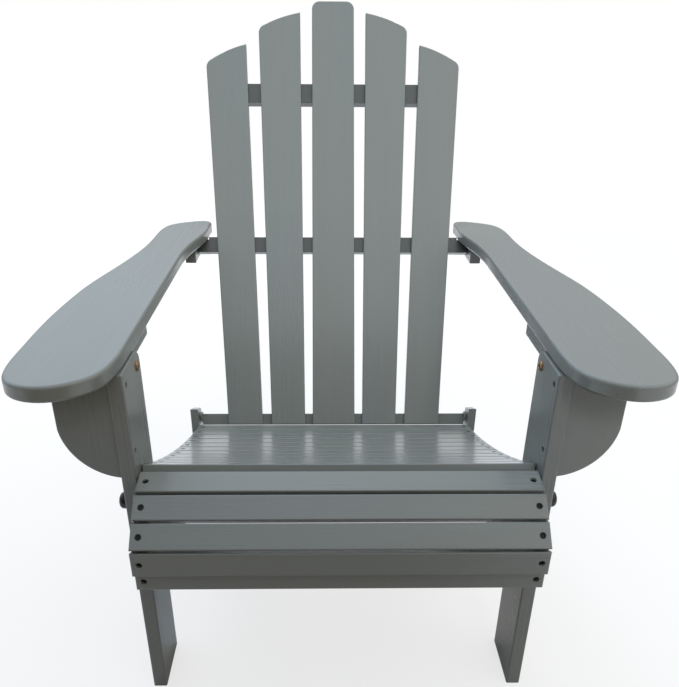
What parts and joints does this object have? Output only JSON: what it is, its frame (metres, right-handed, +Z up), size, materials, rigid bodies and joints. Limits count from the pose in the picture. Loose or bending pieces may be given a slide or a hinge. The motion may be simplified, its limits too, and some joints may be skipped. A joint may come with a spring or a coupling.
{
  "type": "adirondack chair",
  "caption": "Folding slatted garden chair with a fanned, arched back, wide paddle arms on bracketed front legs and a waterfall seat.",
  "frame": {"origin": "on the floor, under the middle of the whole chair's box", "axes": "+X to the right as seen from in front of the chair, +Y from the front of the seat to the back, +Z up"},
  "size_m": [0.7504, 0.8858, 0.8954],
  "materials": {
    "painted_wood": "satin grey-green paint over close-grained wood",
    "brass": "dull yellow plating",
    "painted_steel": "satin grey-green paint, the same as the boards",
    "dark_steel": "black oxide, satin",
    "black_plastic": "gloss black"
  },
  "bodies": {
    "seat_frame": {"left_stringer": "painted_wood", "right_stringer": "painted_wood", "left_back_ear": "painted_wood", "right_back_ear": "painted_wood", "seat_top_screws": "dark_steel", "seat_nose_screws": "dark_steel", "ear_screws": "dark_steel", "knob_inserts": "brass", "back_pivot_bolts": "brass", "nose_slat_1": "painted_wood", "nose_slat_2": "painted_wood", "nose_slat_3": "painted_wood", "nose_slat_4": "painted_wood", "nose_slat_5": "painted_wood", "seat_slat_01": "painted_wood", "seat_slat_02": "painted_wood", "seat_slat_03": "painted_wood", "seat_slat_04": "painted_wood", "seat_slat_05": "painted_wood", "seat_slat_06": "painted_wood", "seat_slat_07": "painted_wood", "seat_slat_08": "painted_wood", "seat_slat_09": "painted_wood", "seat_slat_10": "painted_wood", "seat_slat_11": "painted_wood"},
    "back": {"back_arm_brace": "painted_wood", "back_hinge_straps": "painted_steel", "back_lower_rail": "painted_wood", "back_screws": "dark_steel", "back_slat_1": "painted_wood", "back_slat_2": "painted_wood", "back_slat_3": "painted_wood", "back_slat_4": "painted_wood", "back_slat_5": "painted_wood", "back_upper_brace": "painted_wood"},
    "left_arm": {"left_arm": "painted_wood", "left_arm_cleat": "painted_wood", "left_arm_rear_block": "painted_wood", "left_arm_rear_bolt": "brass", "left_arm_screws": "dark_steel"},
    "left_leg": {"left_leg": "painted_wood", "left_bracket": "painted_wood", "left_bracket_screws": "dark_steel", "left_leg_bolt": "brass", "left_knob": "black_plastic", "left_knob_washer": "dark_steel"},
    "right_arm": {"right_arm": "painted_wood", "right_arm_cleat": "painted_wood", "right_arm_rear_block": "painted_wood", "right_arm_rear_bolt": "brass", "right_arm_screws": "dark_steel"},
    "right_leg": {"right_leg": "painted_wood", "right_bracket": "painted_wood", "right_bracket_screws": "dark_steel", "right_leg_bolt": "brass", "right_knob": "black_plastic", "right_knob_washer": "dark_steel"}
  },
  "joints": [
    {"name": "back_fold", "type": "hinge", "parent": "seat_frame", "child": "back", "pos_m": [0, 0.07316, 0.21644], "axis": [1, 0, 0], "range_deg": [0, 95]},
    {"name": "left_arm_pivot", "type": "hinge", "parent": "back", "child": "left_arm", "pos_m": [-0.262, 0.23673, 0.48835], "axis": [1, 0, 0], "range_deg": [-118.6, 0]},
    {"name": "left_leg_pivot", "type": "hinge", "parent": "left_arm", "child": "left_leg", "pos_m": [-0.26, -0.293, 0.4848], "axis": [1, 0, 0], "range_deg": [0, 88.1]},
    {"name": "right_arm_pivot", "type": "hinge", "parent": "back", "child": "right_arm", "pos_m": [0.262, 0.23673, 0.48835], "axis": [1, 0, 0], "range_deg": [-118.6, 0]},
    {"name": "right_leg_pivot", "type": "hinge", "parent": "right_arm", "child": "right_leg", "pos_m": [0.26, -0.293, 0.4848], "axis": [1, 0, 0], "range_deg": [0, 88.1]}
  ],
  "couplings": [
    {"joint": "left_arm_pivot", "follows": "back_fold", "ratio": -1.2474},
    {"joint": "left_leg_pivot", "follows": "back_fold", "ratio": 0.92632},
    {"joint": "right_arm_pivot", "follows": "back_fold", "ratio": -1.2474},
    {"joint": "right_leg_pivot", "follows": "back_fold", "ratio": 0.92632}
  ]
}
